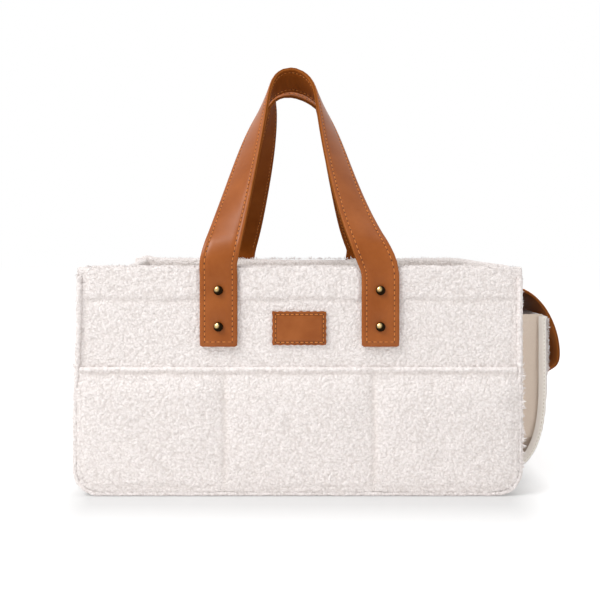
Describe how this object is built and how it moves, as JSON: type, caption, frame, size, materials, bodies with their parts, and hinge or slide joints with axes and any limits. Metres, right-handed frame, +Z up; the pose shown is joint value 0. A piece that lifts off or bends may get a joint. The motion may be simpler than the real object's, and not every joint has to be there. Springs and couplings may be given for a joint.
{
  "type": "diaper caddy",
  "caption": "Open-top fleece caddy on stiff inserts, with leather carrying handles, sewn outer pockets, a flapped end pocket and sliding dividers.",
  "frame": {"origin": "middle of the flat underside, on the surface that the caddy stands on", "axes": "+X to the right along the long side, +Y to the back, +Z up"},
  "size_m": [0.4349, 0.2706, 0.3872],
  "materials": {
    "fleece": "curly cream pile fleece",
    "insert": "stiff white felt sheet",
    "board": "plain fibreboard",
    "lining": "plain woven cotton",
    "canvas": "beige plain-weave canvas",
    "leather": "smooth tan leather, satin",
    "brass": "polished antique brass",
    "tape": "hook and loop tape"
  },
  "bodies": {
    "caddy": {"front_shell": "fleece", "back_shell": "fleece", "wrap_shell": "fleece", "front_facing": "fleece", "back_facing": "fleece", "left_facing": "fleece", "right_facing": "fleece", "front_pocket_strip": "fleece", "back_pocket_strip": "fleece", "front_stiffener": "insert", "back_stiffener": "insert", "left_stiffener": "insert", "right_stiffener": "insert", "base_board": "board", "front_lining": "lining", "back_lining": "lining", "wrap_lining": "lining", "front_patch": "leather", "front_tab_left": "leather", "front_tab_right": "leather", "back_tab_left": "leather", "back_tab_right": "leather", "front_rivet_upper_left_cap": "brass", "front_rivet_upper_right_cap": "brass", "front_rivet_lower_left_cap": "brass", "front_rivet_lower_right_cap": "brass", "back_rivet_upper_left_cap": "brass", "back_rivet_upper_right_cap": "brass", "back_rivet_lower_left_cap": "brass", "back_rivet_lower_right_cap": "brass", "front_rivet_upper_left_back": "brass", "front_rivet_upper_right_back": "brass", "front_rivet_lower_left_back": "brass", "front_rivet_lower_right_back": "brass", "back_rivet_upper_left_back": "brass", "back_rivet_upper_right_back": "brass", "back_rivet_lower_left_back": "brass", "back_rivet_lower_right_back": "brass", "side_pocket_panel": "fleece", "side_pocket_gusset_front": "canvas", "side_pocket_gusset_rear": "canvas", "flap_seam_strip": "leather", "pocket_snap_stud": "brass", "front_loop_tape": "tape", "back_loop_tape": "tape"},
    "front_handle": {"front_handle_loop": "leather"},
    "back_handle": {"back_handle_loop": "leather"},
    "pocket_flap": {"side_flap": "leather", "flap_snap_ring": "brass"},
    "left_divider": {"divider_left": "lining", "divider_left_hook_tape_front": "tape", "divider_left_hook_tape_back": "tape"},
    "right_divider": {"divider_right": "lining", "divider_right_hook_tape_front": "tape", "divider_right_hook_tape_back": "tape"}
  },
  "joints": [
    {"name": "front_handle_swing", "type": "hinge", "parent": "caddy", "child": "front_handle", "pos_m": [0, -0.12895, 0.18815], "axis": [1, 0, 0], "range_deg": [0, 165]},
    {"name": "back_handle_swing", "type": "hinge", "parent": "caddy", "child": "back_handle", "pos_m": [0, 0.12895, 0.18815], "axis": [-1, 0, 0], "range_deg": [0, 165]},
    {"name": "flap_lift", "type": "hinge", "parent": "caddy", "child": "pocket_flap", "pos_m": [0.188, 0, 0.1743], "axis": [0, -1, 0], "range_deg": [0, 80]},
    {"name": "left_divider_slide", "type": "slide", "parent": "caddy", "child": "left_divider", "axis": [1, 0, 0], "range_m": [-0.035, 0.035]},
    {"name": "right_divider_slide", "type": "slide", "parent": "caddy", "child": "right_divider", "axis": [1, 0, 0], "range_m": [-0.035, 0.035]}
  ]
}
